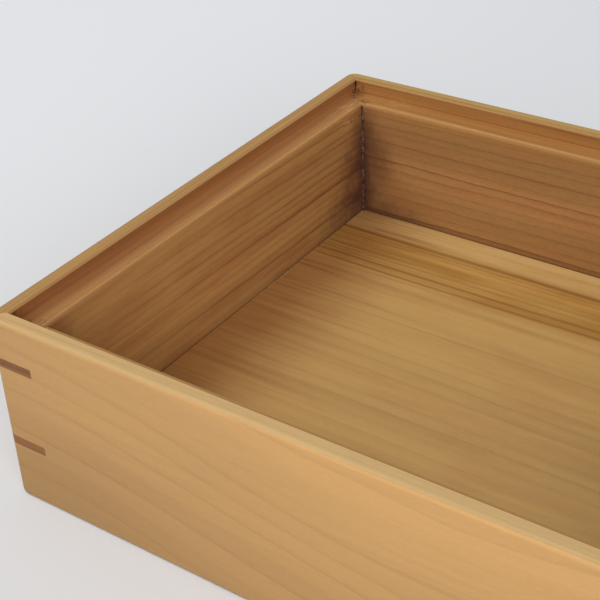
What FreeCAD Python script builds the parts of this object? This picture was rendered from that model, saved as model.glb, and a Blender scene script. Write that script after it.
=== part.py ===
import FreeCAD, Part
import os

# A shallow wooden tool box with a lid that slides along an undercut rebate in its rim, in millimetres.
# X runs along the box to the end that the lid leaves by, Y to the back wall, Z up.
# The origin is in the middle of the left end wall's foot, on the surface the box stands on.

# Outside of the box
length = 320.0
width = 150.0
height = 50.5

# Wall stock, and how far its outer edges are rounded: most at the uprights, least along the rim
wall = 9.5
upright_round = 3.0
edge_round = 1.2

# Rebate round the inner top edge: the lid runs on its ledge, and the lip outside it leans
# inwards, so that the rebate is wider at the ledge than at the rim by the undercut
lip = 4.2
rebate_depth = 4.4
undercut = 1.0
ledge_round = 1.4
lip_bevel = 0.5

# Floor panel, held in a groove round the four walls
floor_thickness = 6.0
floor_rise = 5.0
groove_depth = 4.0
groove_headroom = 0.1
floor_edge_clearance = 0.5
foot_round = 1.0

# Keys glued into saw cuts across the mitred corners
key_thickness = 2.4
key_leg = 12.0
lower_key_height = 17.0
upper_key_height = 39.0

# Sliding lid, bevelled to run under the lips, and how far it is slid open
lid_seat_clearance = 0.2
lid_reveal = 0.2
lid_edge_clearance = 0.4
lid_round = 0.5
lid_open = 146.0

# Thumb notch in the lid: its floor slopes down to a steep half-round edge
notch_radius = 11.0
notch_depth = 1.8
notch_from_end = 26.0

# How far cutting tools reach past the wood
overrun = 2.0

# Planes of the box
left = -wall / 2
right = left + length
front = -width / 2
back = width / 2
ledge = height - rebate_depth
floor_top = floor_rise + floor_thickness
touch = 1e-4


def block(x0, x1, y0, y1, z0, z1):
    corner = FreeCAD.Vector(x0, y0, z0)
    return Part.makeBox(x1 - x0, y1 - y0, z1 - z0, corner)


def prism(outline, z0, z1):
    points = [FreeCAD.Vector(x, y, z0) for x, y in outline]
    face = Part.Face(Part.makePolygon(points + points[:1]))
    return face.extrude(FreeCAD.Vector(0, 0, z1 - z0))


def lip_inset(z):
    """How far in from the outside of the box the lips' inner face lies at a height."""
    return lip - undercut * (height - z) / rebate_depth


def between_lips(end, z0, inset0, z1, inset1):
    """A block up to X = end whose other three sides slope from one inset to another."""
    outlines = []
    for z, inset in ((z0, inset0), (z1, inset1)):
        corners = [
            FreeCAD.Vector(left + inset, front + inset, z),
            FreeCAD.Vector(end, front + inset, z),
            FreeCAD.Vector(end, back - inset, z),
            FreeCAD.Vector(left + inset, back - inset, z),
        ]
        outlines.append(Part.makePolygon(corners + corners[:1]))
    return Part.makeLoft(outlines, True, True)


def rebate_filling(clearance, end, z0, z1):
    """What fills the undercut rebate between two heights, less a clearance at the lips."""
    return between_lips(end, z0, lip_inset(z0) + clearance, z1, lip_inset(z1) + clearance)


def lies_on(edge, x=None, y=None, z=None):
    """True where both ends of a straight edge have the given coordinates."""
    for vertex in (edge.Vertexes[0], edge.Vertexes[-1]):
        for value, wanted in zip(vertex.Point, (x, y, z)):
            if wanted is not None and abs(value - wanted) > touch:
                return False
    return True


def is_straight(edge):
    return not edge.Degenerated and isinstance(edge.Curve, Part.Line)


def straight(shape):
    return [e for e in shape.Edges if is_straight(e)]


def glued_frame():
    """The four walls as one ring, as it is after the rebate and the edges have been worked."""
    ring = block(left, right, front, back, 0, height)
    uprights = [e for e in ring.Edges if not lies_on(e, z=0) and not lies_on(e, z=height)]
    ring = ring.makeFillet(upright_round, uprights)
    ring = ring.makeFillet(edge_round, [e for e in ring.Edges if lies_on(e, z=height)])

    inside = block(left + wall, right - wall, front + wall, back - wall, -overrun, height + overrun)
    rebate = rebate_filling(0, right + overrun, ledge, height + overrun)
    bevel_foot = height - lip_bevel
    mouth = lip_inset(bevel_foot)
    bevel = between_lips(
        right + overrun, bevel_foot, mouth, height + overrun, mouth - lip_bevel - overrun
    )
    groove = block(
        left + wall - groove_depth,
        right - wall + groove_depth,
        front + wall - groove_depth,
        back - wall + groove_depth,
        floor_rise,
        floor_top + groove_headroom,
    )
    ring = ring.cut([inside, rebate, bevel, groove, exit_edge_waste()])
    return eased(ring)


def eased(ring):
    """Rounds the ledge's inner edge and the edges that the box stands on."""
    inner_sides = ({"x": left + wall}, {"x": right - wall}, {"y": front + wall}, {"y": back - wall})
    ledge_edges = [e for e in straight(ring) for s in inner_sides if lies_on(e, z=ledge, **s)]
    ring = ring.makeFillet(ledge_round, ledge_edges)

    outer_sides = ({"x": left}, {"x": right}, {"y": front}, {"y": back})
    foot_edges = [e for e in straight(ring) for s in outer_sides if lies_on(e, z=0, **s)]
    foot_edges += [e for e in ring.Edges if not is_straight(e) and lies_on(e, z=0)]
    return ring.makeFillet(foot_round, foot_edges)


def exit_edge_waste():
    """What comes off the edge that the lid leaves over, between the feet of the lips."""
    foot = lip_inset(ledge)
    corner = block(
        right - ledge_round, right + overrun, front + foot, back - foot, ledge - ledge_round, ledge + overrun
    )
    axis = FreeCAD.Vector(right - ledge_round, front, ledge - ledge_round)
    return corner.cut(Part.makeCylinder(ledge_round, width, axis, FreeCAD.Vector(0, 1, 0)))


def mitred_walls(ring):
    """Parts the ring along the mitres that run from its outer to its inner corners."""
    past = wall + overrun
    outer = {
        "left_front": (left - overrun, front - overrun),
        "right_front": (right + overrun, front - overrun),
        "right_back": (right + overrun, back + overrun),
        "left_back": (left - overrun, back + overrun),
    }
    inner = {
        "left_front": (left + past, front + past),
        "right_front": (right - past, front + past),
        "right_back": (right - past, back - past),
        "left_back": (left + past, back - past),
    }
    ends = {
        "front_wall": ("left_front", "right_front"),
        "right_end_wall": ("right_front", "right_back"),
        "back_wall": ("right_back", "left_back"),
        "left_end_wall": ("left_back", "left_front"),
    }
    walls = {}
    for name, (first, second) in ends.items():
        outline = [outer[first], outer[second], inner[second], inner[first]]
        walls[name] = ring.common(prism(outline, -overrun, height + overrun))
    return walls


def corner_keys(ring):
    """Thin three-cornered keys, flush with both outer faces, two in each corner."""
    corners = {
        "front_left": (left, front, 1, 1),
        "front_right": (right, front, -1, 1),
        "back_left": (left, back, 1, -1),
        "back_right": (right, back, -1, -1),
    }
    levels = {"lower": lower_key_height, "upper": upper_key_height}
    reach = key_leg + overrun
    keys = {}
    for corner, (x, y, inward_x, inward_y) in corners.items():
        tip = (x - inward_x * overrun, y - inward_y * overrun)
        along_x = (x + inward_x * reach, y - inward_y * overrun)
        along_y = (x - inward_x * overrun, y + inward_y * reach)
        for level, middle in levels.items():
            sheet = prism([tip, along_x, along_y], middle - key_thickness / 2, middle + key_thickness / 2)
            keys[f"corner_key_{corner}_{level}"] = ring.common(sheet)
    return keys


def floor_panel():
    """A loose panel that stands in the groove, with room at its edges to swell."""
    reach = wall - groove_depth + floor_edge_clearance
    return block(left + reach, right - reach, front + reach, back - reach, floor_rise, floor_top)


def sliding_lid():
    """A board with bevelled edges that the lips hold down, its top just below the rim, slid open."""
    under = ledge + lid_seat_clearance
    top = height - lid_reveal
    board = rebate_filling(lid_edge_clearance, right, under, top)
    board = board.makeFillet(lid_round, board.Edges)
    board = board.cut(thumb_notch(right - notch_from_end, top))
    board.translate(FreeCAD.Vector(lid_open, 0, 0))
    return board


def thumb_notch(x, top):
    """The wood taken out by the notch: a round plug cut off by a sloping plane."""
    plug = Part.makeCylinder(notch_radius, notch_depth + overrun, FreeCAD.Vector(x, 0, top - notch_depth))
    shallow = FreeCAD.Vector(x - notch_radius, -notch_radius - overrun, top)
    deep = FreeCAD.Vector(x + notch_radius, -notch_radius - overrun, top - notch_depth)
    above_deep = FreeCAD.Vector(x + notch_radius, -notch_radius - overrun, top + overrun)
    above_shallow = FreeCAD.Vector(x - notch_radius, -notch_radius - overrun, top + overrun)
    side = Part.Face(Part.makePolygon([shallow, deep, above_deep, above_shallow, shallow]))
    wedge = side.extrude(FreeCAD.Vector(0, 2 * (notch_radius + overrun), 0))
    return plug.common(wedge)


def build():
    ring = glued_frame()
    keys = corner_keys(ring)
    nodes = {name: shape.cut(list(keys.values())) for name, shape in mitred_walls(ring).items()}
    nodes.update(keys)
    nodes["floor_panel"] = floor_panel()
    nodes["sliding_lid"] = sliding_lid()
    return nodes


def single_solid(name, shape):
    solids = shape.Solids
    if len(solids) != 1 or not solids[0].isValid():
        raise ValueError(f"{name} is not one sound solid")
    return solids[0]


os.makedirs("parts", exist_ok=True)
for name, shape in build().items():
    solid = single_solid(name, shape)
    solid.exportStep(f"parts/{name}.step")
    box = solid.optimalBoundingBox()
    print(f"{name}: {box.XLength:.1f} x {box.YLength:.1f} x {box.ZLength:.1f} mm")
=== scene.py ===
import math

import bmesh
import bpy
from mathutils import Matrix, Vector, noise


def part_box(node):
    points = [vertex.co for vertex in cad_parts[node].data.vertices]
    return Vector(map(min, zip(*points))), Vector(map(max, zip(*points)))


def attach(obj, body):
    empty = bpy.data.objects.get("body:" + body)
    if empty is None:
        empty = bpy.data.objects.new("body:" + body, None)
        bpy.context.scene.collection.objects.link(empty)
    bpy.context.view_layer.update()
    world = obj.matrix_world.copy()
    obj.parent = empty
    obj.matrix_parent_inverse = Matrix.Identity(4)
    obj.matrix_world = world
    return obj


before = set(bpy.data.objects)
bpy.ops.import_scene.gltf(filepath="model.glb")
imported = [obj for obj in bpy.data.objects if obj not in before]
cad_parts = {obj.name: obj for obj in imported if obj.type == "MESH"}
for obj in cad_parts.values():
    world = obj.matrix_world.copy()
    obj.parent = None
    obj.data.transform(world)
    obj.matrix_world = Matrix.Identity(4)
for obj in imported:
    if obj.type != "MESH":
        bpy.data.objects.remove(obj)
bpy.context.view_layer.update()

# The box and its lid in millimetres, from their nodes. Blender is given metres
MM = 0.001
REBATE_DEPTH = 4.4
low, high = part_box("back_wall")
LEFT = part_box("left_end_wall")[0].x / MM
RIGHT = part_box("right_end_wall")[1].x / MM
BACK = high.y / MM
RIM = high.z / MM
WALL = (high.y - low.y) / MM
FLOOR_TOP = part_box("floor_panel")[1].z / MM
LEDGE = RIM - REBATE_DEPTH
MIDDLE = (LEFT + RIGHT) / 2
HALF_LENGTH = (RIGHT - LEFT) / 2
LID_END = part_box("sliding_lid")[1].x / MM
LID_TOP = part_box("sliding_lid")[1].z / MM
NOTCH_FROM_END = 26.0
NOTCH_RADIUS = 11.0


def srgb(red, green, blue):
    """A colour written in 8-bit display values, as the linear values that Blender takes."""
    def linear(value):
        value /= 255
        return value / 12.92 if value <= 0.04045 else ((value + 0.055) / 1.055) ** 2.4
    return (linear(red), linear(green), linear(blue), 1.0)


# Age and wear on the walls, with painted light and shade among them
# Partly wear, partly a painted highlight along the ledge's rounded inner edge
ARRIS_WEAR_AND_HIGHLIGHT = srgb(190, 146, 80)
# Painted light on the wall just below the ledge's inner edge
PAINTED_LIGHT_UNDER_ARRIS = srgb(186, 134, 74)
TORN_FIBRES = srgb(206, 160, 108)
# Glue stain in the inside corners, with painted shade there too
CORNER_STAIN_AND_SHADE = srgb(84, 48, 40)
# Dirt along the wall's foot, with painted shade in the crease above the floor
FOOT_DIRT_AND_SHADE = srgb(84, 46, 32)
FLOOR_SEAM = srgb(54, 32, 22)
GLUE_FLECKS = srgb(84, 47, 34)
OPEN_JOINT = srgb(46, 27, 20)
# The outer faces painted paler: partly thinner old finish, partly painted light
PALER_OUTSIDE_FINISH_AND_LIGHT = (1.30, 1.45, 1.50)
REBATE_FACE = (srgb(194, 140, 84), srgb(170, 112, 64))

# Age and wear on the floor and the lid, with painted light and shade on the floor
FLOOR_LINES = srgb(122, 74, 34)
FLOOR_HAZE = srgb(153, 100, 53)
FLOOR_DIRT = srgb(138, 88, 46)
BAND_DIRT = srgb(126, 80, 43)
FLOOR_VEINS = srgb(116, 68, 36)
FLOOR_CORNER_DIRT_AND_SHADE = srgb(120, 74, 42)
FLOOR_CHIPS = srgb(196, 158, 116)
THUMB_DIRT = srgb(104, 66, 38)


class Graph:
    """One material's nodes. Every input is a number, a tuple or another node's output."""

    def __init__(self, name):
        self.material = bpy.data.materials.new(name)
        self.material.use_nodes = True
        self.tree = self.material.node_tree
        self.shader = self.tree.nodes["Principled BSDF"]

    def add(self, kind, **settings):
        node = self.tree.nodes.new(kind)
        for key, value in settings.items():
            setattr(node, key, value)
        return node

    def feed(self, socket, value):
        if isinstance(value, bpy.types.NodeSocket):
            self.tree.links.new(value, socket)
        else:
            socket.default_value = value

    def feed_all(self, node, values):
        for socket, value in zip(node.inputs, values):
            self.feed(socket, value)

    def math(self, operation, *values, clamp=False):
        node = self.add("ShaderNodeMath", operation=operation, use_clamp=clamp)
        self.feed_all(node, values)
        return node.outputs[0]

    def product(self, first, *others, clamp=False):
        """All values multiplied, with the result kept between 0 and 1 where clamp says so."""
        for other in others[:-1]:
            first = self.math("MULTIPLY", first, other)
        return self.math("MULTIPLY", first, others[-1], clamp=clamp)

    def vary(self, value, amount, around):
        """Around, plus an amount of the value."""
        return self.math("MULTIPLY_ADD", value, amount, around)

    def vector(self, operation, *values):
        node = self.add("ShaderNodeVectorMath", operation=operation)
        self.feed_all(node, values)
        return node.outputs[0]

    def length(self, vector):
        node = self.add("ShaderNodeVectorMath", operation="LENGTH")
        self.feed(node.inputs[0], vector)
        return node.outputs["Value"]

    def combine(self, x, y, z):
        node = self.add("ShaderNodeCombineXYZ")
        self.feed_all(node, (x, y, z))
        return node.outputs[0]

    def split(self, value):
        node = self.add("ShaderNodeSeparateXYZ")
        self.feed(node.inputs[0], value)
        return node.outputs[:]

    def place(self):
        """Where the surface is on the object, in millimetres."""
        coordinates = self.add("ShaderNodeTexCoord").outputs["Object"]
        return self.vector("MULTIPLY", coordinates, (1000, 1000, 1000))

    def facing(self):
        """The surface's direction on the object."""
        return self.split(self.add("ShaderNodeTexCoord").outputs["Normal"])

    def noise(self, place, per_mm, detail=2.0, roughness=0.5):
        """Smooth noise from -1 to 1, with its changes per millimetre in each direction."""
        node = self.add("ShaderNodeTexNoise", noise_dimensions="3D")
        self.feed(node.inputs["Vector"], self.vector("MULTIPLY", place, per_mm))
        node.inputs["Scale"].default_value = 1.0
        node.inputs["Detail"].default_value = detail
        node.inputs["Roughness"].default_value = roughness
        return self.vary(node.outputs[0], 2.0, -1.0)

    def per_step(self, value):
        """A number from 0 to 1 that is the same for equal values."""
        node = self.add("ShaderNodeTexWhiteNoise", noise_dimensions="1D")
        self.feed(node.inputs["W"], value)
        return node.outputs[0]

    def between(self, value, low, high, to_low=0.0, to_high=1.0, smooth=True):
        """A number that goes from to_low to to_high as the value goes from low to high."""
        kind = "SMOOTHSTEP" if smooth else "LINEAR"
        node = self.add("ShaderNodeMapRange", interpolation_type=kind, clamp=True)
        self.feed_all(node, (value, low, high, to_low, to_high))
        return node.outputs[0]

    def band(self, value, start, end, soft):
        """1 between start and end, falling to 0 over soft on both sides."""
        rise = self.between(value, start - soft, start + soft)
        fall = self.between(value, end - soft, end + soft, 1.0, 0.0)
        return self.product(rise, fall)

    def profile(self, value, stops):
        """A level for each position from 0 to 1, straight between the stops."""
        node = self.add("ShaderNodeValToRGB")
        node.color_ramp.interpolation = "LINEAR"
        elements = node.color_ramp.elements
        while len(elements) < len(stops):
            elements.new(0.5)
        for element, (position, level) in zip(elements, stops):
            element.position = position
            element.color = (level, level, level, 1.0)
        self.feed(node.inputs[0], value)
        return node.outputs[0]

    def mix(self, amount, first, second):
        """The first colour where the amount is 0, and the second where it is 1."""
        node = self.add("ShaderNodeMix", data_type="RGBA", clamp_factor=True)
        self.feed(node.inputs["Factor"], amount)
        self.feed(node.inputs[6], first)
        self.feed(node.inputs[7], second)
        return node.outputs[2]

    def scale(self, colour, amount):
        """A colour times a number that varies over the surface."""
        node = self.add("ShaderNodeVectorMath", operation="SCALE")
        self.feed(node.inputs[0], colour)
        self.feed(node.inputs["Scale"], amount)
        return node.outputs[0]

    def relief(self, height, distance):
        """Raises the surface by a share of a distance in millimetres."""
        bump = self.add("ShaderNodeBump")
        bump.inputs["Strength"].default_value = 0.6
        bump.inputs["Distance"].default_value = distance * MM
        self.feed(bump.inputs["Height"], height)
        self.feed(self.shader.inputs["Normal"], bump.outputs[0])


class Board:
    """Wood with growth rings round a pith line, in one board's own direction.

    The pith line lies across the board and up by the pith's two lengths where the board's own
    direction is 0, and leans by a slope each way from there. A bend makes it wave: its height, its
    length and where it crests. A ring is as wide as ring says, wander is how far the rings stray
    over the board, and unevenness varies their widths.
    """

    # How dark a ring is across its width, from the early wood to the edge of the late wood
    RING = (
        (0.0, 0.35), (0.06, 0.05), (0.30, 0.0), (0.58, 0.08),
        (0.80, 0.34), (0.92, 0.92), (0.97, 1.0), (1.0, 0.4),
    )

    def __init__(self, name, along, pith, ring, seed, lean=(0.0, 0.0), wander=1.4, unevenness=0.8,
                 bend=None):
        self.g = g = Graph(name)
        self.point = g.place()
        self.x, self.y, self.z = g.split(self.point)
        self.nz = g.facing()[2]
        self.run, self.side = (self.x, self.y) if along == "X" else (self.y, self.x)
        apart = (seed * 173.0, seed * 57.0, seed * 91.0)
        self.grain = g.vector("ADD", g.combine(self.run, self.side, self.z), apart)
        wiggle = self.grained(0.26, 0.55, detail=3.0, roughness=0.6)
        radius = self.from_pith(pith, lean, bend)
        radius = g.vary(self.grained(0.011, 0.035, detail=3.0), wander, radius)
        radius = g.vary(self.grained(0.03, 0.3), 0.30, radius)
        radius = g.vary(wiggle, 0.38, radius)
        self.rings(g.math("DIVIDE", radius, ring), wiggle, seed, unevenness)
        self.fibre = self.grained(0.035, 2.4, detail=3.0, roughness=0.65)
        self.dash = self.grained(0.20, 3.0)
        self.streak = self.grained(0.010, 0.75, detail=3.0, roughness=0.6)
        self.cloud = self.grained(0.022, 0.06)
        self.speckle = self.grained(0.6, 1.3, detail=3.0, roughness=0.8)
        self.hue = self.grained(0.03, 0.16, roughness=0.6)

    def grained(self, along, across, detail=2.0, roughness=0.5):
        """Noise drawn out along the grain, with its changes per millimetre."""
        return self.g.noise(self.grain, (along, across, across), detail, roughness)

    def spotted(self, per_mm, detail, roughness):
        """Noise that takes no notice of the grain."""
        return self.g.noise(self.point, per_mm, detail, roughness)

    def mottled(self):
        return self.spotted((0.9, 0.9, 0.6), detail=4.0, roughness=0.75)

    def from_pith(self, pith, lean, bend):
        """Distance from the pith line."""
        g = self.g
        across = g.math("SUBTRACT", g.vary(self.run, -lean[0], self.side), pith[0])
        up = g.math("SUBTRACT", g.vary(self.run, -lean[1], self.z), pith[1])
        if bend:
            height, length, start = bend
            turn = g.vary(self.run, 2 * math.pi / length, -start * 2 * math.pi / length)
            up = g.vary(g.math("COSINE", turn), -height, up)
        squares = g.math("ADD", g.product(across, across), g.product(up, up))
        return g.math("SQRT", squares)

    def rings(self, count, wiggle, seed, unevenness):
        """Each ring's dark line, and a tone of its own, from how many rings out the place is."""
        g = self.g
        uneven = g.noise(g.combine(count, seed, 0.0), (0.43, 1.0, 1.0), roughness=0.7)
        count = g.vary(uneven, unevenness, count)
        whole = g.math("FLOOR", count)
        shape = g.profile(g.math("SUBTRACT", count, whole), self.RING)
        chance = g.per_step(g.math("ADD", whole, seed))
        strength = g.vary(g.math("POWER", chance, 1.3), 0.75, 0.25)
        strength = g.product(strength, g.vary(wiggle, 0.35, 0.95))
        self.line = g.product(shape, strength)
        self.ring_tone = g.vary(g.per_step(g.math("ADD", whole, seed + 0.5)), 2.0, -1.0)

    def colours(self, early, late, contrast, warm=None, fibre=0.07, dash=0.06, streak=0.10, cloud=0.07,
                ring_tone=0.05, speckle=0.14):
        """The board's colour: pale early wood, dark late wood, and the tones that drift over both."""
        g = self.g
        if warm:
            early = g.mix(g.between(self.hue, -0.25, 0.35), early, warm)
        colour = g.mix(g.product(self.line, contrast), early, late)
        tone = 1.0
        for part, amount in (
            (self.fibre, fibre), (self.dash, dash), (self.streak, streak), (self.cloud, cloud),
            (self.ring_tone, ring_tone), (self.speckle, speckle),
        ):
            tone = g.vary(part, amount, tone)
        return g.scale(colour, tone)

    def patch(self, middle, reach, ragged):
        """1 in the middle of a stain, falling to 0 at its ragged edge."""
        g = self.g
        offset = g.vector("DIVIDE", g.vector("SUBTRACT", self.point, middle), reach)
        distance = g.vary(ragged, 0.40, g.length(offset))
        return g.between(distance, 0.0, 1.15, 1.0, 0.0)

    def finish(self, colour, rough):
        """Late wood stands up a little and shines more than early wood."""
        g = self.g
        g.feed(g.shader.inputs["Base Color"], colour)
        gloss = g.vary(self.line, -0.06, rough)
        gloss = g.vary(self.fibre, 0.06, gloss)
        gloss = g.vary(self.cloud, 0.06, gloss)
        g.feed(g.shader.inputs["Roughness"], gloss)
        g.shader.inputs["Specular IOR Level"].default_value = 0.32
        g.shader.inputs["IOR"].default_value = 1.42
        height = g.vary(self.line, 0.5, g.product(self.fibre, 0.45))
        height = g.vary(self.streak, 0.4, height)
        height = g.vary(self.dash, 0.3, height)
        g.relief(height, 0.05)
        return g.material


class Wall(Board):
    """A wall's board, with what its wear, stains and painted light and shade follow: the rim, the ledge, the
    floor and the mitres.
    """

    def __init__(self, *board, **options):
        super().__init__(*board, **options)
        g = self.g
        from_end = g.math("SUBTRACT", HALF_LENGTH, g.math("ABSOLUTE", g.math("SUBTRACT", self.x, MIDDLE)))
        from_side = g.math("SUBTRACT", BACK, g.math("ABSOLUTE", self.y))
        apart = g.math("ABSOLUTE", g.math("SUBTRACT", from_end, from_side))
        self.off_mitre = g.product(apart, math.sqrt(0.5))
        self.inward = g.math("MINIMUM", from_end, from_side)
        self.upright = g.between(self.nz, 0.3, 0.6, 1.0, 0.0)
        self.within = g.between(self.inward, WALL - 1.2, WALL - 0.4)
        self.inside = g.product(self.within, self.upright)
        level = g.between(self.nz, 0.35, 0.9)
        self.on_rim = g.product(level, g.between(self.z, RIM - 1.5, RIM - 0.8))
        self.off_rim = g.math("SUBTRACT", 1.0, self.on_rim)
        self.blotch = self.spotted((0.22, 0.22, 0.18), detail=3.0, roughness=0.6)
        self.mottle = self.mottled()

    def outside(self, colour):
        """Outside, the wood is paler than inside: partly the old finish lying thicker inside, partly painted
        light on the outer faces.
        """
        g = self.g
        outside = g.between(self.inward, 1.5, 2.5, 1.0, 0.0)
        return g.mix(outside, colour, g.vector("MULTIPLY", colour, PALER_OUTSIDE_FINISH_AND_LIGHT))

    def rim_and_rebate(self, colour, late, rim, ledge, face, painted_lift):
        """The worn rim, the ledge and the rebate's face have tones of their own.

        The lift is painted light in the crease: how much paler the ledge and the face are where they meet.
        """
        g = self.g
        streaks = g.vary(self.fibre, 0.10, g.vary(self.streak, 0.20, 1.0))
        streaks = g.vary(self.speckle, 0.08, g.vary(self.cloud, 0.06, streaks))
        brown = g.between(self.streak, -0.12, 0.40)
        rim_wood = g.mix(g.product(brown, 0.55), rim, late)
        colour = g.mix(self.on_rim, colour, g.scale(rim_wood, streaks))

        ledge_wood = g.mix(g.product(brown, 0.35), ledge, late)
        # Painted light on the ledge near the rebate's face
        ledge_wood = g.scale(ledge_wood, g.between(self.inward, 3.8, 7.0, painted_lift, 1.0))
        above = g.between(self.z, LEDGE - 1.5, LEDGE - 0.3)
        in_rebate = g.product(above, g.between(self.inward, 2.0, 2.6), self.off_rim)
        colour = g.mix(in_rebate, colour, g.scale(ledge_wood, streaks))

        # Painted light on the face near the ledge
        face_wood = g.scale(g.mix(brown, *face), g.between(self.z, LEDGE + 0.2, LEDGE + 2.6, painted_lift, 1.0))
        above = g.between(self.z, LEDGE + 0.1, LEDGE + 0.5)
        on_face = g.product(above, g.between(self.inward, 2.6, 3.0), self.upright, self.off_rim)
        return g.mix(on_face, colour, g.scale(face_wood, streaks))

    def edge_wear_and_light(self, colour):
        """The ledge's rounded inner edge: painted shade on its lower turn, a pale stripe along its top that
        is partly wear and partly painted highlight, and painted light on the wall just below it.
        """
        g = self.g
        height = g.between(self.z, LEDGE - 2.2, LEDGE - 1.2)
        turned = g.product(g.between(self.inward, WALL - 1.5, WALL - 1.1), height)
        # Painted shade on the lower turn of the rounded edge
        colour = g.scale(colour, g.vary(turned, -0.16, 1.0))
        # A pale stripe along the top of the edge: partly wear, partly painted highlight
        arris = g.band(self.inward, WALL - 1.15, WALL - 0.50, 0.16)
        wear_and_highlight = g.vary(self.speckle, 0.35, g.vary(self.fibre, 0.35, 0.50))
        colour = g.mix(g.product(arris, turned, wear_and_highlight), colour, ARRIS_WEAR_AND_HIGHLIGHT)
        # Painted light on the wall just below the edge
        below = g.product(g.between(self.z, LEDGE - 5.5, LEDGE - 1.4), self.within)
        return g.mix(g.product(below, 0.35), colour, PAINTED_LIGHT_UNDER_ARRIS)

    def dirt_and_shade(self, colour, stains_and_shade, foot_dirt_and_shade):
        """Dirt, glue and old finish gather in the inside corners and above the floor; both places also carry
        painted shade.
        """
        g = self.g
        # The inside corners are darkened by glue stain and by painted shade
        reach = g.vary(self.blotch, 5.0, 5.5)
        stain_and_shade = g.between(self.off_mitre, 0.0, reach, 1.0, 0.0, smooth=False)
        stain_and_shade = g.product(stain_and_shade, g.between(self.z, FLOOR_TOP + 22, FLOOR_TOP + 34, 1.0, 0.35))
        for middle, size, amount in stains_and_shade:
            stain_and_shade = g.math("MAXIMUM", stain_and_shade, g.product(self.patch(middle, size, self.blotch), amount))
        stain_and_shade = g.product(stain_and_shade, g.vary(self.mottle, 0.40, 1.0), self.inside, clamp=True)
        colour = g.mix(stain_and_shade, colour, CORNER_STAIN_AND_SHADE)
        # Dirt and painted shade along the foot above the floor
        foot = g.between(self.z, FLOOR_TOP + 0.2, FLOOR_TOP + 2.4, 1.0, 0.0)
        foot = g.product(foot, self.inside, g.vary(self.mottle, 0.3, foot_dirt_and_shade))
        colour = g.mix(foot, colour, FOOT_DIRT_AND_SHADE)
        ragged = g.vary(self.mottle, 0.25, self.z)
        seam = g.between(ragged, FLOOR_TOP + 0.2, FLOOR_TOP + 0.5, 1.0, 0.0)
        return g.mix(g.product(seam, self.inside, 0.6), colour, FLOOR_SEAM)

    def torn_fibres(self, colour, scuffs):
        """Fibres torn out by the plane show pale."""
        g = self.g
        for middle, size, amount in scuffs:
            torn = g.product(self.patch(middle, size, self.blotch), g.between(self.dash, -0.05, 0.25))
            torn = g.product(torn, g.between(self.mottle, -0.25, 0.15), amount)
            colour = g.mix(torn, colour, TORN_FIBRES)
        return colour

    def joint(self, colour):
        """Glue has run out of the mitre in the rebate, and the open joint is a dark line."""
        g = self.g
        flecks = g.product(g.between(self.mottle, -0.05, 0.20), g.between(self.off_mitre, 0.5, 3.6, 1.0, 0.0))
        rebate = g.product(g.between(self.inward, 3.0, 3.4), g.between(self.z, LEDGE - 0.6, LEDGE))
        colour = g.mix(g.product(flecks, rebate, self.off_rim, 0.75), colour, GLUE_FLECKS)
        width = g.vary(self.mottle, 0.20, 0.24)
        gap = g.between(g.math("DIVIDE", self.off_mitre, width), 0.5, 1.5, 1.0, 0.0)
        deep = g.product(g.between(self.inward, 2.0, 2.6), self.upright, 0.85)
        outer = g.product(g.between(self.inward, 1.2, 2.0, 1.0, 0.0), self.upright)
        return g.mix(g.product(gap, g.vary(outer, 0.45, deep)), colour, OPEN_JOINT)


def wall_material(wall, early, late, warm, rim, ledge, face=REBATE_FACE, contrast=0.9, streak=0.10,
                  ring_tone=0.05, fine=1.0, shade=None, painted_lift=1.06, stains_and_shade=(), scuffs=(), foot_dirt_and_shade=0.36):
    """A wall's material, where fine is how much of the fine grain shows.

    A patch of stain and painted shade, or a scuff, is its middle, its reach each way and how much it shows.
    """
    colour = wall.colours(
        early, late, contrast, warm, fibre=0.07 * fine, dash=0.06 * fine, streak=streak, ring_tone=ring_tone,
        speckle=0.14 * fine,
    )
    if shade:
        colour = wall.g.scale(colour, shade)
    colour = wall.outside(colour)
    colour = wall.rim_and_rebate(colour, late, rim, ledge, face, painted_lift)
    colour = wall.edge_wear_and_light(colour)
    colour = wall.dirt_and_shade(colour, stains_and_shade, foot_dirt_and_shade)
    colour = wall.torn_fibres(colour, scuffs)
    colour = wall.joint(colour)
    return wall.finish(colour, 0.60)


def back_wall_material():
    """Palest halfway up, and darker in its corner and along its foot from stain, dirt and painted shade."""
    wall = Wall("back_wall_wood", "X", pith=(70.0, -95.0), ring=2.9, seed=1.0, lean=(0.0, 0.006))
    return wall_material(
        wall, srgb(167, 124, 75), srgb(112, 68, 39), srgb(168, 120, 73), rim=srgb(180, 144, 82),
        ledge=srgb(166, 116, 62), face=(srgb(190, 138, 80), srgb(162, 108, 60)), contrast=0.8, streak=0.08,
        fine=1.35, shade=wall.g.vary(wall.g.band(wall.z, 24.0, 31.0, 4.0), 0.24, 1.0),
        # Patches of stain and painted shade low in the corner by the left end wall
        stains_and_shade=(((6.0, 65.5, 29.0), (12.0, 9.0, 13.0), 0.62), ((3.0, 65.5, 11.0), (32.0, 9.0, 7.0), 0.62)),
        scuffs=(((14.0, 69.0, 46.1), (16.0, 4.0, 3.0), 0.5),),
    )


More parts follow.
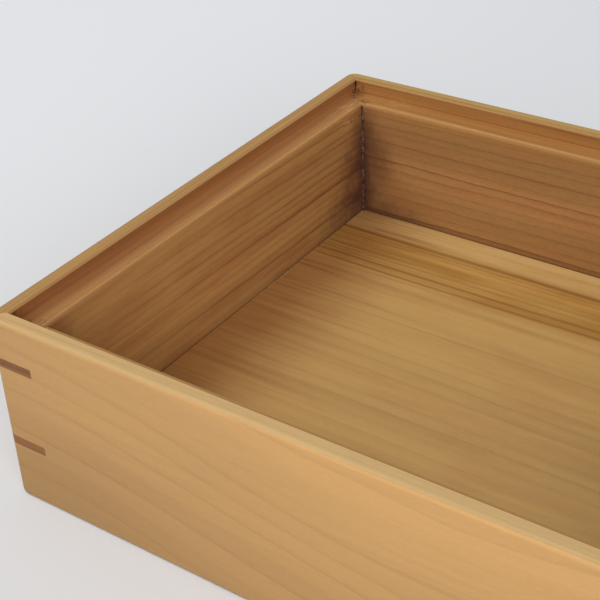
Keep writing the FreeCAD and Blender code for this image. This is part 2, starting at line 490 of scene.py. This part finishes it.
def left_wall_material():
    """Darker toward the back, where its grain is clearest."""
    wall = Wall("left_wall_wood", "Y", pith=(0.0, 150.0), ring=2.5, seed=2.0, lean=(0.0, -0.035))
    return wall_material(
        wall, srgb(182, 136, 81), srgb(113, 70, 40), srgb(172, 120, 71), rim=srgb(174, 134, 80),
        ledge=srgb(170, 120, 72), face=(srgb(166, 112, 66), srgb(138, 86, 52)),
        contrast=wall.g.between(wall.y, -50.0, 60.0, 0.36, 1.15), streak=0.12, ring_tone=0.07, fine=0.8,
        # The left rebate's crease gets more painted light
        shade=wall.g.between(wall.y, -25.0, 60.0, 1.12, 0.86), painted_lift=1.24,
        # Patches of stain and painted shade low down by the back corner
        stains_and_shade=(((4.8, 65.0, 16.0), (9.0, 22.0, 16.0), 0.92), ((4.8, 66.0, 28.0), (9.0, 15.0, 12.0), 0.92)),
        scuffs=(((4.8, 58.0, 43.0), (3.0, 8.0, 3.5), 0.7), ((2.0, 62.0, 46.1), (4.0, 12.0, 3.0), 0.6)),
        foot_dirt_and_shade=0.16,
    )


def front_wall_material():
    """Soft wide rings that wave, darkest low down by the closed end."""
    wall = Wall(
        "front_wall_wood", "X", pith=(-60.0, 95.0), ring=5.6, seed=3.0, wander=3.5, bend=(8.0, 240.0, -8.0)
    )
    along = wall.g.between(wall.x, -20.0, 110.0, 0.82, 1.01)
    up = wall.g.between(wall.z, 0.0, 52.0, 0.90, 1.19)
    return wall_material(
        wall, srgb(177, 130, 80), srgb(155, 108, 65), srgb(177, 130, 81), rim=srgb(198, 164, 111),
        ledge=srgb(170, 126, 72), contrast=0.38, streak=0.06, ring_tone=0.03, fine=0.45,
        shade=wall.g.product(along, up),
    )


def right_wall_material():
    """Outside the photograph, and like its neighbours."""
    wall = Wall("right_wall_wood", "Y", pith=(300.0, 120.0), ring=3.4, seed=4.0, lean=(0.0, 0.015))
    return wall_material(
        wall, srgb(176, 130, 76), srgb(124, 78, 44), srgb(172, 120, 72), rim=srgb(172, 138, 84),
        ledge=srgb(163, 118, 64),
    )


def floor_material():
    """A tan board with a darker band and a pale strip beside the back wall, dirty and darker at its left end,
    with painted shade in its back corner and painted light along the left end wall.
    """
    board = Board("floor_wood", "X", pith=(-230.0, 30.0), ring=4.3, seed=5.0, wander=1.2)
    g = board.g
    drift = board.grained(0.008, 0.06)
    across = g.math("ADD", drift, board.y)
    tan = board.colours(
        srgb(184, 146, 87), srgb(150, 107, 60), 0.42, srgb(178, 138, 82), streak=0.09, cloud=0.04,
        fibre=0.05, dash=0.04, speckle=0.07,
    )
    band = board.colours(
        srgb(180, 138, 75), srgb(126, 82, 38), 0.58, srgb(168, 123, 60), streak=0.18, speckle=0.09,
    )
    pale = board.colours(
        srgb(197, 160, 102), srgb(164, 119, 68), 0.42, srgb(189, 150, 92), streak=0.09, fibre=0.05,
        dash=0.04, speckle=0.08,
    )
    colour = g.mix(g.between(across, 35.5, 39.0), tan, band)
    colour = g.mix(g.between(across, 55.0, 57.5), colour, pale)

    # Dark rings in the band: how far back each one is, its width and its strength
    ragged = g.vary(board.dash, 0.16, across)
    for middle, width, strength in (
        (38.2, 0.9, 0.55), (41.2, 0.8, 0.62), (46.2, 0.6, 0.35), (51.4, 0.5, 0.25), (54.8, 1.2, 0.6)
    ):
        line = g.band(ragged, middle - width / 2, middle + width / 2, 0.55)
        amount = g.vary(board.cloud, 0.25, g.between(board.x, 5.0, 50.0, strength + 0.25, strength))
        colour = g.mix(g.product(line, amount, clamp=True), colour, FLOOR_LINES)

    # Darker toward the left end wall, in a haze that fades out by 42 mm, and dirt runs out along the grain in
    # fingers over it
    haze = g.product(g.between(board.x, 12.0, 42.0, 0.50, 0.0), g.between(across, 34.0, 39.0, 1.0, 0.35))
    colour = g.mix(haze, colour, FLOOR_HAZE)
    length = g.vary(board.grained(0.014, 0.40, detail=3.0, roughness=0.6), 34.0, 19.0)
    share = g.math("DIVIDE", g.math("SUBTRACT", board.x, 4.5), length)
    finger = g.product(g.between(share, 0.0, 1.0, 1.0, 0.0), g.between(length, 1.0, 4.0))
    finger = g.product(finger, g.vary(board.speckle, 0.3, 0.46), clamp=True)
    finger = g.product(finger, g.between(across, 34.0, 39.0, 1.0, 0.62))
    colour = g.mix(finger, colour, g.mix(g.between(across, 34.0, 38.0), FLOOR_DIRT, BAND_DIRT))
    veins = g.between(board.grained(0.016, 0.9, detail=3.0, roughness=0.6), 0.02, 0.30)
    veins = g.product(veins, g.between(board.x, 6.0, 58.0, 1.0, 0.0))
    veins = g.product(veins, g.between(across, 12.0, 36.0, 0.28, 0.62))
    colour = g.mix(veins, colour, FLOOR_VEINS)
    # The back corner is darkened by dirt and by painted shade
    corner = board.patch((6.0, 64.0, 11.0), (11.0, 7.0, 9.0), drift)
    corner = g.product(corner, g.vary(board.mottled(), 0.3, 0.34))
    colour = g.mix(corner, colour, FLOOR_CORNER_DIRT_AND_SHADE)
    # Painted light along the left end wall, paler toward the wall
    colour = g.scale(colour, g.between(board.x, 4.0, 31.0, 1.30, 1.0))

    # Its left edge is chipped
    chips = board.spotted((0.5, 0.9, 0.5), detail=4.0, roughness=0.7)
    edge = g.product(g.between(board.x, 4.8, 6.4, 1.0, 0.0), g.between(chips, -0.05, 0.25))
    colour = g.mix(g.product(edge, g.band(board.y, 10.0, 48.0, 3.0), 0.55), colour, FLOOR_CHIPS)
    return board.finish(colour, 0.5)


def lid_material():
    """A flat-sawn board, darkened by thumbs in its notch."""
    board = Board(
        "lid_wood", "X", pith=(8.0, -16.0), ring=5.0, seed=6.0, lean=(0.02, 0.04), wander=3.0,
        unevenness=0.55,
    )
    g = board.g
    colour = board.colours(srgb(186, 148, 92), srgb(146, 100, 54), 0.75, srgb(180, 137, 82))
    offset = g.combine(g.math("SUBTRACT", board.x, LID_END - NOTCH_FROM_END), board.y, 0.0)
    notch = g.between(g.length(offset), NOTCH_RADIUS + 0.2, NOTCH_RADIUS + 0.8, 1.0, 0.0)
    below_top = g.between(board.z, LID_TOP - 2.2, LID_TOP - 0.05, 1.0, 0.0)
    above_foot = g.between(board.z, LID_TOP - 3.0, LID_TOP - 2.0)
    colour = g.mix(g.product(notch, below_top, above_foot, 0.55), colour, THUMB_DIRT)
    return board.finish(colour, 0.55)


def key_material():
    """Darker wood than the walls, all cut from one strip."""
    board = Board("key_wood", "X", pith=(0.0, 150.0), ring=2.4, seed=7.0, wander=2.0, unevenness=0.55)
    return board.finish(board.colours(srgb(142, 94, 53), srgb(112, 70, 42), 0.7), 0.55)


def dress_nodes():
    """Gives every CAD node its material. What isn't named is a corner key."""
    materials = {
        "back_wall": back_wall_material(),
        "left_end_wall": left_wall_material(),
        "front_wall": front_wall_material(),
        "right_end_wall": right_wall_material(),
        "floor_panel": floor_material(),
        "sliding_lid": lid_material(),
    }
    keys = key_material()
    for name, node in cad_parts.items():
        material = materials.get(name, keys)
        if not node.material_slots:
            node.data.materials.append(material)
        for slot in node.material_slots:
            slot.material = material


dress_nodes()


def mesh_object(name, build, material):
    mesh = bpy.data.meshes.new(name)
    shape = bmesh.new()
    build(shape)
    shape.to_mesh(mesh)
    shape.free()
    mesh.materials.append(material)
    piece = bpy.data.objects.new(name, mesh)
    bpy.context.scene.collection.objects.link(piece)
    return piece


def glue_beads(shape):
    """Glue that has run out of the mitres, in lumps down the four inside corners."""
    sides = 7
    step = 0.45
    radius = 0.52
    least_radius = 0.12
    below_ledge = 1.6
    rows = int((LEDGE - below_ledge - FLOOR_TOP) / step)
    corners = (
        (LEFT + WALL, BACK - WALL), (LEFT + WALL, WALL - BACK),
        (RIGHT - WALL, BACK - WALL), (RIGHT - WALL, WALL - BACK),
    )
    for number, (x, y) in enumerate(corners):
        below = None
        for row in range(rows + 1):
            z = FLOOR_TOP + row * step
            swell = noise.noise(Vector((9.0, 3.0, z * 0.22 + 70 * number)))
            ring = []
            for side in range(sides):
                turn = 2 * math.pi * side / sides
                around = (math.cos(turn) * 0.8, math.sin(turn) * 0.8, z * 0.55 + 40 * number)
                lump = noise.noise(Vector(around))
                reach = max(least_radius, radius + 0.42 * lump + 0.36 * swell)
                point = (x + reach * math.cos(turn), y + reach * math.sin(turn), z)
                ring.append(shape.verts.new([value * MM for value in point]))
            if below:
                for side in range(sides):
                    nearby = (side + 1) % sides
                    face = shape.faces.new((below[side], below[nearby], ring[nearby], ring[side]))
                    face.smooth = True
            else:
                shape.faces.new(list(reversed(ring)))
            below = ring
        shape.faces.new(below)


def glue_material():
    """Brittle glue, brown with paler lumps."""
    g = Graph("old_glue")
    lumps = g.noise(g.place(), (1.3, 1.3, 0.9), detail=4.0, roughness=0.7)
    colour = g.mix(g.between(lumps, -0.15, 0.35), srgb(58, 38, 30), srgb(132, 104, 88))
    g.feed(g.shader.inputs["Base Color"], colour)
    g.feed(g.shader.inputs["Roughness"], g.vary(lumps, 0.12, 0.42))
    g.relief(lumps, 0.15)
    return g.material


glue = mesh_object("glue_beads", glue_beads, glue_material())
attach(glue, "box")


def floor_plane(shape):
    reach = 6
    corners = ((-reach, -reach, 0), (reach, -reach, 0), (reach, reach, 0), (-reach, reach, 0))
    shape.faces.new([shape.verts.new(corner) for corner in corners])


def stage_material():
    """Pale studio floor, a little paler behind the closed end as painted light, and paler still far away."""
    near_tone = 0.70
    far_tone = 0.94
    g = Graph("studio_floor")
    point = g.place()
    along, back, _ = g.split(point)
    # Painted light on the floor behind the closed end
    painted_light_behind = g.product(g.between(along, -170.0, 90.0, 0.066, 0.0), g.between(back, -150.0, 60.0))
    near = g.math("ADD", painted_light_behind, near_tone)
    tone = g.math("MAXIMUM", near, g.between(g.length(point), 600, 3600, near_tone, far_tone))
    tone = g.vary(g.noise(point, (0.002, 0.002, 0.002)), 0.006, tone)
    g.feed(g.shader.inputs["Base Color"], g.combine(g.product(tone, 0.98), tone, g.product(tone, 1.04)))
    g.shader.inputs["Roughness"].default_value = 0.9
    g.shader.inputs["Specular IOR Level"].default_value = 0.0
    return g.material


mesh_object("studio_floor", floor_plane, stage_material())


def softbox(name, direction, size, energy, colour):
    """A square lamp above the box, facing it."""
    aim = Vector((0.06, 0.0, 0.0))
    distance = 4.0
    lamp = bpy.data.lights.new(name, "AREA")
    lamp.shape = "SQUARE"
    lamp.size = size
    lamp.energy = energy
    lamp.color = colour
    box = bpy.data.objects.new(name, lamp)
    direction = Vector(direction).normalized()
    box.location = aim + distance * direction
    box.rotation_euler = direction.to_track_quat("Z", "Y").to_euler()
    bpy.context.scene.collection.objects.link(box)


def studio_light():
    """Two softboxes and a pale world, which the camera sees brighter than the box does."""
    light_on_box = 0.46
    seen_by_camera = 0.62
    world = bpy.data.worlds.new("studio")
    world.use_nodes = True
    nodes = world.node_tree.nodes
    links = world.node_tree.links
    background = nodes["Background"]
    background.inputs[0].default_value = (0.98, 0.99, 1.0, 1.0)
    path = nodes.new("ShaderNodeLightPath")
    strength = nodes.new("ShaderNodeMapRange")
    strength.inputs["To Min"].default_value = light_on_box
    strength.inputs["To Max"].default_value = seen_by_camera
    links.new(path.outputs["Is Camera Ray"], strength.inputs["Value"])
    links.new(strength.outputs[0], background.inputs[1])
    bpy.context.scene.world = world
    softbox("key", (-0.58, -0.30, 1.02), 1.8, 72.0, (1.0, 0.985, 0.96))
    softbox("fill", (0.68, -0.66, 0.55), 2.4, 72.0, (1.0, 0.99, 0.97))


studio_light()


def camera():
    """The photograph's view, solved from the box's edges in it."""
    position = Vector((194.90, -232.23, 211.15)) * MM
    target = Vector((16.28, 14.45, 11.0)) * MM
    roll = math.radians(-2.841)
    data = bpy.data.cameras.new("camera")
    data.sensor_fit = "HORIZONTAL"
    data.sensor_width = 36.0
    data.lens = 80.19
    data.clip_start = 0.01
    data.clip_end = 50.0
    rig = bpy.data.objects.new("camera", data)
    bpy.context.scene.collection.objects.link(rig)
    forward = (target - position).normalized()
    level = forward.cross(Vector((0, 0, 1))).normalized()
    upright = level.cross(forward)
    right = math.cos(roll) * level + math.sin(roll) * upright
    up = math.cos(roll) * upright - math.sin(roll) * level
    turn = Matrix((right, up, -forward)).transposed()
    rig.matrix_world = Matrix.Translation(position) @ turn.to_4x4()
    bpy.context.scene.camera = rig


camera()
bpy.context.scene.view_settings.view_transform = "Standard"
